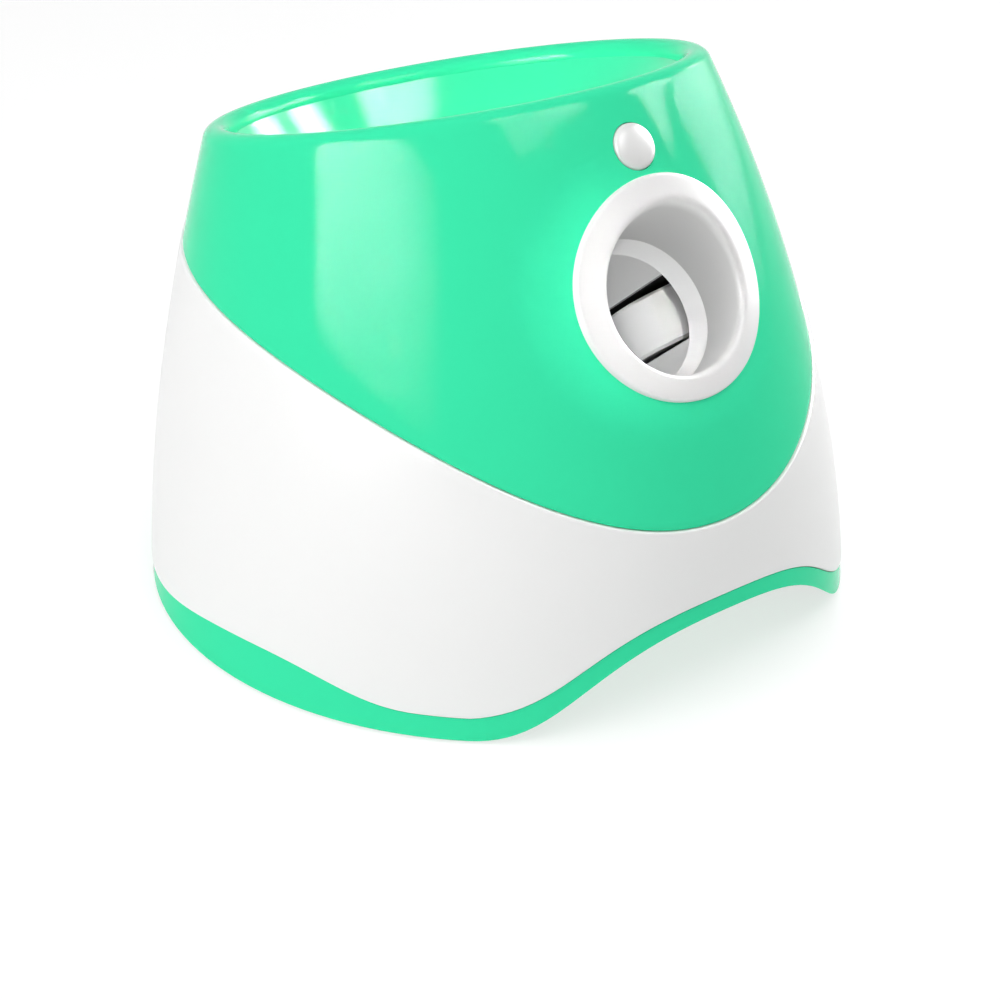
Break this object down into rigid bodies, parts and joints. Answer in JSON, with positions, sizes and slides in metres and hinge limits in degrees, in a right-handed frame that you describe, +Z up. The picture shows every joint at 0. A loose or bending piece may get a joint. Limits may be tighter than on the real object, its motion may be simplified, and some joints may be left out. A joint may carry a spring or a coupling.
{
  "type": "automatic dog ball launcher",
  "caption": "Tabletop launcher that takes a ball in an open hopper and throws it from a round front mouth with a pair of flywheels.",
  "frame": {"origin": "under the middle of the outline, on the surface it stands on", "axes": "+Z up, the mouth faces -Y, +X to the right seen from behind"},
  "size_m": [0.2918, 0.2978, 0.2234],
  "materials": {
    "green_plastic": "glossy moulded green",
    "white_plastic": "satin moulded white",
    "dark_plastic": "fine grained black",
    "clear_grey_plastic": "fine grained grey",
    "urethane": "smooth cast urethane",
    "steel": "drawn steel",
    "brass": "machined brass",
    "rubber": "matt black rubber",
    "board_laminate": "solder mask",
    "cell_sleeve": "shrunk sleeve",
    "lead_sleeve": "extruded sleeve"
  },
  "bodies": {
    "housing": {"ball_sensors": "dark_plastic", "base_tray": "green_plastic", "battery_box": "dark_plastic", "battery_cells": "cell_sleeve", "battery_contacts": "steel", "battery_door": "green_plastic", "battery_lead": "lead_sleeve", "board_components": "dark_plastic", "board_plugs": "white_plastic", "board_screws": "steel", "body_shell": "white_plastic", "bracket_screws": "steel", "button_board": "board_laminate", "button_board_screws": "steel", "button_lead": "lead_sleeve", "case_screws": "steel", "charge_lead": "lead_sleeve", "charging_socket": "dark_plastic", "control_board": "board_laminate", "cover_screws": "steel", "door_screw": "steel", "feed_chute": "white_plastic", "frame_bracket_left": "dark_plastic", "frame_bracket_right": "dark_plastic", "gate_bracket": "clear_grey_plastic", "gate_lead": "lead_sleeve", "gate_motor": "steel", "gate_screws": "steel", "hopper_bowl": "green_plastic", "launch_barrel": "white_plastic", "motor_caps": "dark_plastic", "motor_lead_left": "lead_sleeve", "motor_lead_right": "lead_sleeve", "motor_left": "steel", "motor_right": "steel", "motor_screws": "steel", "mouth_ring": "white_plastic", "power_lead": "lead_sleeve", "rear_panel": "dark_plastic", "rubber_feet": "rubber", "switch_body": "dark_plastic", "tact_switch": "dark_plastic", "upper_shell": "green_plastic", "wheel_cover": "dark_plastic", "wheel_frame": "dark_plastic"},
    "button": {"button_cap": "white_plastic", "switch_plunger": "dark_plastic"},
    "left_wheel": {"flywheel_left": "white_plastic", "tyre_left": "urethane", "motor_shaft_left": "steel"},
    "right_wheel": {"flywheel_right": "white_plastic", "tyre_right": "urethane", "motor_shaft_right": "steel"},
    "gate": {"gate_flap": "white_plastic", "gate_shaft": "steel", "gate_gear": "clear_grey_plastic"},
    "pinion": {"gate_pinion": "brass"},
    "rocker": {"power_rocker": "dark_plastic"}
  },
  "joints": [
    {"name": "button_press", "type": "slide", "parent": "housing", "child": "button", "axis": [0, 0.829, -0.5592], "range_m": [0, 0.001], "stiffness_N_per_m": 400, "springref_m": -0.0005},
    {"name": "left_wheel_spin", "type": "hinge", "parent": "housing", "child": "left_wheel", "pos_m": [-0.055, -0.05946, 0.1137], "axis": [0, 0.6428, 0.766], "continuous": true},
    {"name": "right_wheel_spin", "type": "hinge", "parent": "housing", "child": "right_wheel", "pos_m": [0.055, -0.05946, 0.1137], "axis": [0, 0.6428, 0.766], "continuous": true},
    {"name": "gate_swing", "type": "hinge", "parent": "housing", "child": "gate", "pos_m": [0, 0.06739, 0.117], "axis": [1, 0, 0], "range_deg": [0, 80]},
    {"name": "pinion_spin", "type": "hinge", "parent": "housing", "child": "pinion", "pos_m": [0.0265, 0.07777, 0.10463], "axis": [1, 0, 0], "range_deg": [-187, 0]},
    {"name": "rocker_tilt", "type": "hinge", "parent": "housing", "child": "rocker", "pos_m": [-0.016, 0.13767, 0.06], "axis": [1, 0, 0], "range_deg": [0, 22]}
  ],
  "couplings": [
    {"joint": "pinion_spin", "follows": "gate_swing", "ratio": -2.3333}
  ]
}
